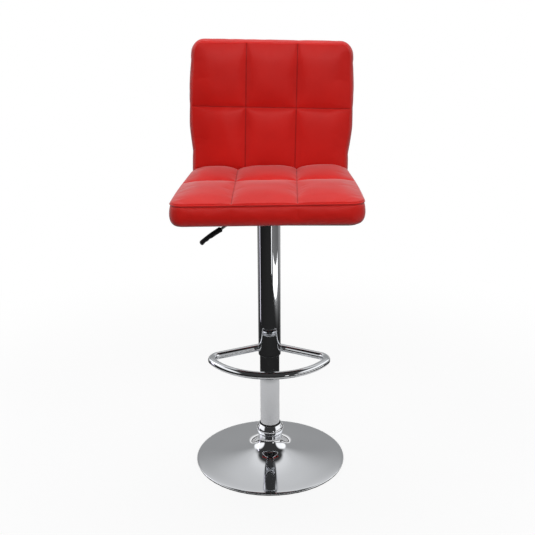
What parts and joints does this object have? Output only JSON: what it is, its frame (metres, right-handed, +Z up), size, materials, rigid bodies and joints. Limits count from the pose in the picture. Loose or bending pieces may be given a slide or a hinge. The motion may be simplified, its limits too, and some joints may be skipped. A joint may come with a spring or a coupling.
{
  "type": "adjustable swivel stool",
  "caption": "Swivel stool with quilted red seat and back on a gas-lift chrome column, with a foot hoop, a side height lever and a weighted trumpet base.",
  "frame": {"origin": "on the floor, in the column's axis, which is the middle of the stool's outline to within a few millimetres", "axes": "+Z up along the column, which is the longest way; the sitter faces -Y; +X is on the sitter's left, and the height lever is on the -X side"},
  "size_m": [0.4436, 0.4178, 1.0734],
  "materials": {
    "chrome": "polished",
    "rod_chrome": "ground and polished",
    "zinc_steel": "zinc plated",
    "black_steel": "black satin paint",
    "cast_weight": "rough, painted",
    "black_rubber": "matt",
    "black_plastic": "satin",
    "plywood": "raw",
    "red_upholstery": "smooth polyurethane-coated leather cloth over foam",
    "dark_cloth": "non-woven"
  },
  "bodies": {
    "base": {"base_cover": "chrome", "base_weight": "cast_weight", "floor_ring": "black_rubber", "base_flange": "zinc_steel", "flange_bolt_1": "zinc_steel", "flange_bolt_2": "zinc_steel", "flange_bolt_3": "zinc_steel", "flange_bolt_4": "zinc_steel", "neck_collar": "chrome", "collar_ring": "black_rubber", "lower_tube": "chrome", "guide_bush": "black_plastic", "rod_seat": "zinc_steel", "lower_race": "zinc_steel"},
    "bearing_cage": {"ball_cage": "zinc_steel"},
    "spindle": {"upper_race": "zinc_steel", "piston_rod": "rod_chrome", "rod_clip": "zinc_steel", "bump_stop": "black_rubber"},
    "column": {"cover_tube": "chrome", "footrest_hoop": "chrome", "cover_cap": "zinc_steel", "tee_nut_1": "zinc_steel", "tee_nut_2": "zinc_steel", "tee_nut_3": "zinc_steel", "tee_nut_4": "zinc_steel", "plate_bolt_1": "zinc_steel", "plate_bolt_2": "zinc_steel", "plate_bolt_3": "zinc_steel", "plate_bolt_4": "zinc_steel", "strap_screw_1": "zinc_steel", "strap_screw_2": "zinc_steel", "strap_screw_3": "zinc_steel", "strap_screw_4": "zinc_steel", "gas_cylinder": "black_steel", "seat_plate": "black_steel", "taper_socket": "black_steel", "lever_housing": "black_steel", "frame_strap_left": "black_steel", "frame_strap_right": "black_steel", "rod_guide": "black_plastic", "cover_bush": "black_plastic", "seat_board": "plywood", "back_board": "plywood", "seat_cushion": "red_upholstery", "back_cushion": "red_upholstery", "dust_cover": "dark_cloth"},
    "lever": {"lever_rod": "zinc_steel", "lever_grip": "black_plastic"},
    "valve_button": {"gas_button": "zinc_steel"}
  },
  "joints": [
    {"name": "swivel", "type": "hinge", "parent": "base", "child": "spindle", "pos_m": [0, 0, 0.036], "axis": [0, 0, 1], "continuous": true},
    {"name": "bearing_roll", "type": "hinge", "parent": "base", "child": "bearing_cage", "pos_m": [0, 0, 0.036], "axis": [0, 0, 1], "continuous": true},
    {"name": "height", "type": "slide", "parent": "spindle", "child": "column", "axis": [0, 0, 1], "range_m": [-0.165, 0.05]},
    {"name": "height_lever", "type": "hinge", "parent": "column", "child": "lever", "pos_m": [-0.034, 0, 0.6888], "axis": [0, 1, 0], "range_deg": [0, 7], "stiffness_Nm_per_rad": 9, "springref_deg": -4.58},
    {"name": "valve_press", "type": "slide", "parent": "column", "child": "valve_button", "axis": [0, 0, -1], "range_m": [0, 0.0046]}
  ],
  "couplings": [
    {"joint": "bearing_roll", "follows": "swivel", "ratio": 0.5},
    {"joint": "valve_press", "follows": "height_lever", "m_per_rad": 0.036}
  ]
}
